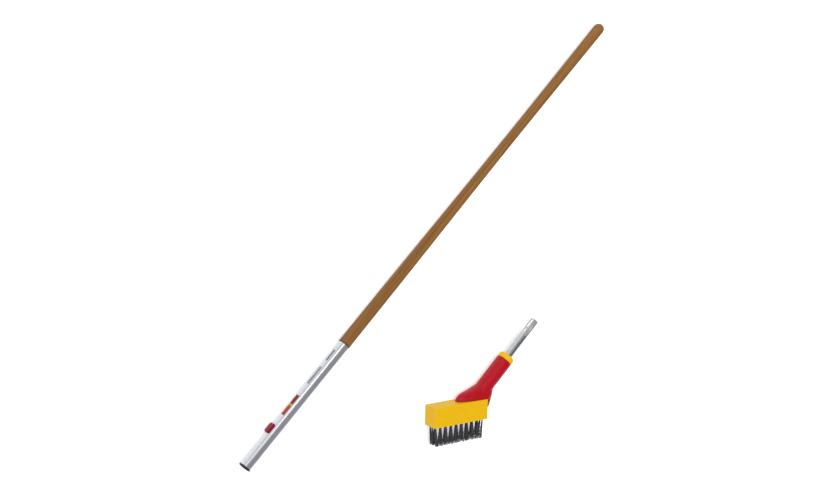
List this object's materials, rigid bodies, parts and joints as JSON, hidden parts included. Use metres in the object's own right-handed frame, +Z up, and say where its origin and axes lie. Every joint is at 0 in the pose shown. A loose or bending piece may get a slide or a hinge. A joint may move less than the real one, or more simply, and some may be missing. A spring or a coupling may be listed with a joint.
{
  "type": "stand up weeder",
  "caption": "Long wood and aluminium handle with a click-in wire brush head for scrubbing weeds out of paving joints while standing.",
  "frame": {"origin": "centre of the handle's mouth, on the handle's axis", "axes": "+X up the handle from its mouth, +Z up from the ground that both pieces lie on, +Y the way the release button faces"},
  "size_m": [1.44, 0.5165, 0.045],
  "materials": {
    "wood": "oiled ash, satin",
    "tube": "drawn and anodised, satin",
    "liner": "black moulded plastic",
    "button": "red moulded plastic",
    "latch_steel": "spring steel, bright",
    "label": "printed film, no lettering",
    "zinc": "zinc plated sheet steel",
    "yellow": "yellow moulded plastic, satin",
    "red": "red moulded plastic, satin",
    "black_plate": "black moulded plastic",
    "screws": "zinc plated screws",
    "wire": "blackened crimped steel wire"
  },
  "bodies": {
    "head": {"shank": "zinc", "neck_core": "yellow", "shank_pin": "screws", "neck_cover": "red", "brush_block": "yellow", "foot_screws": "screws", "tuft_plate": "black_plate", "plate_screws": "screws", "tuft_anchors": "screws", "tufts_front": "wire", "tufts_middle": "wire", "tufts_back": "wire", "tufts_end": "wire"},
    "stop": {"socket_stop": "liner"},
    "handle": {"wood_shaft": "wood", "socket_tube": "tube", "mouth_liner": "liner", "latch_housing": "liner", "latch_pin": "latch_steel", "latch_spring": "latch_steel", "label_strip": "label", "shaft_rivet": "tube"},
    "button": {"release_button": "button"},
    "latch": {"latch_lever": "latch_steel"}
  },
  "joints": [
    {"name": "handle_carry", "type": "slide", "parent": "head", "child": "stop", "axis": [0.8985, -0.439, 0.0079], "range_m": [0, 0.92938]},
    {"name": "handle_plug", "type": "slide", "parent": "stop", "child": "handle", "axis": [-1, 0, 0], "range_m": [0, 0.1747]},
    {"name": "button_press", "type": "slide", "parent": "handle", "child": "button", "axis": [0, -1, 0], "range_m": [0, 0.0029], "stiffness_N_per_m": 1500},
    {"name": "latch_tilt", "type": "hinge", "parent": "handle", "child": "latch", "pos_m": [0.0915, 0.0099, 0], "axis": [0, 0, -1], "range_deg": [0, 11], "deforming": ["latch_spring"]}
  ],
  "couplings": [
    {"joint": "latch_tilt", "follows": "button_press", "rad_per_m": 66.19}
  ]
}
